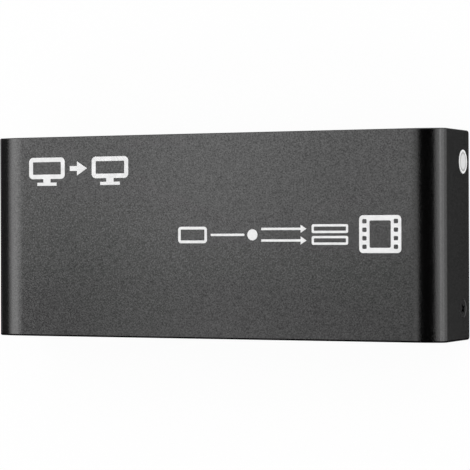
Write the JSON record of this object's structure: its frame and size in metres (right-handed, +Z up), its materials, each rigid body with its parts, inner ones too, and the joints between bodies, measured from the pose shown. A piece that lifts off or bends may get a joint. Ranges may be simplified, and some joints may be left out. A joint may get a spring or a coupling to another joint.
{
  "type": "hdmi splitter",
  "caption": "Flat black metal box that sends one video input to two outputs, with rear sockets, power jack, front lamps and rubber feet.",
  "frame": {"origin": "on the ground under the middle of the box", "axes": "+X along the long side, towards the end wall with the white seal; +Y to the socket panel at the rear; +Z up, out of the printed face"},
  "size_m": [0.1081, 0.045, 0.0185],
  "materials": {
    "cover_black": "fine blasted black anodised sheet with white screen-printed signs",
    "tray_black": "black anodised folded sheet",
    "screw_black": "black plated",
    "seal_paper": "plain white coated paper",
    "foot_rubber": "soft matt rubber",
    "standoff_steel": "zinc plated",
    "board_screw_steel": "nickel plated",
    "board_laminate": "glass laminate with green solder mask",
    "jack_plastic": "moulded black plastic",
    "jack_metal": "nickel plated brass",
    "lamp_red": "tinted clear lens",
    "lamp_green": "tinted clear lens",
    "tinned_wire": "tinned",
    "chip_resin": "moulded epoxy",
    "chip_leads": "tinned",
    "thermal_pad": "soft grey pad",
    "sink_aluminium": "plain extruded",
    "capacitor_plastic": "moulded black plastic",
    "capacitor_can": "bright drawn can",
    "ferrite": "fired ferrite",
    "copper": "enamelled copper wire",
    "crystal_steel": "nickel plated can",
    "ceramic_tan": "fired ceramic",
    "ceramic_black": "coated ceramic",
    "fuse_green": "coated chip",
    "socket_steel": "nickel plated bent sheet",
    "socket_plastic": "moulded black plastic",
    "contact_gold": "gold plated"
  },
  "bodies": {
    "root": {"base_tray": "tray_black", "board_screws": "board_screw_steel", "board_standoffs": "standoff_steel", "capacitor_bases": "capacitor_plastic", "capacitor_cans": "capacitor_can", "chip_capacitors": "ceramic_tan", "chip_resistors": "ceramic_black", "circuit_board": "board_laminate", "controller_ic": "chip_resin", "controller_ic_leads": "chip_leads", "cover_screws": "screw_black", "crystal_base": "crystal_steel", "crystal_can": "crystal_steel", "dc_jack_body": "jack_plastic", "dc_jack_pin": "jack_metal", "dc_jack_spring": "jack_metal", "diode": "chip_resin", "esd_arrays": "chip_resin", "foot_front_left": "foot_rubber", "foot_front_right": "foot_rubber", "foot_rear_left": "foot_rubber", "foot_rear_right": "foot_rubber", "fuse": "fuse_green", "hdmi_in_contacts": "contact_gold", "hdmi_in_insulator": "socket_plastic", "hdmi_in_shell": "socket_steel", "hdmi_out_one_contacts": "contact_gold", "hdmi_out_one_insulator": "socket_plastic", "hdmi_out_one_shell": "socket_steel", "hdmi_out_two_contacts": "contact_gold", "hdmi_out_two_insulator": "socket_plastic", "hdmi_out_two_shell": "socket_steel", "heat_sink": "sink_aluminium", "inductor_core": "ferrite", "inductor_winding": "copper", "memory_one": "chip_resin", "memory_one_leads": "chip_leads", "memory_two": "chip_resin", "memory_two_leads": "chip_leads", "output_one_lamp_leads": "tinned_wire", "output_one_lamp_lens": "lamp_green", "output_two_lamp_leads": "tinned_wire", "output_two_lamp_lens": "lamp_green", "power_lamp_leads": "tinned_wire", "power_lamp_lens": "lamp_red", "regulator_one": "chip_resin", "regulator_one_leads": "chip_leads", "regulator_two": "chip_resin", "regulator_two_leads": "chip_leads", "seal_sticker": "seal_paper", "splitter_ic": "chip_resin", "splitter_ic_leads": "chip_leads", "thermal_tape": "thermal_pad", "top_cover": "cover_black"}
  },
  "joints": []
}
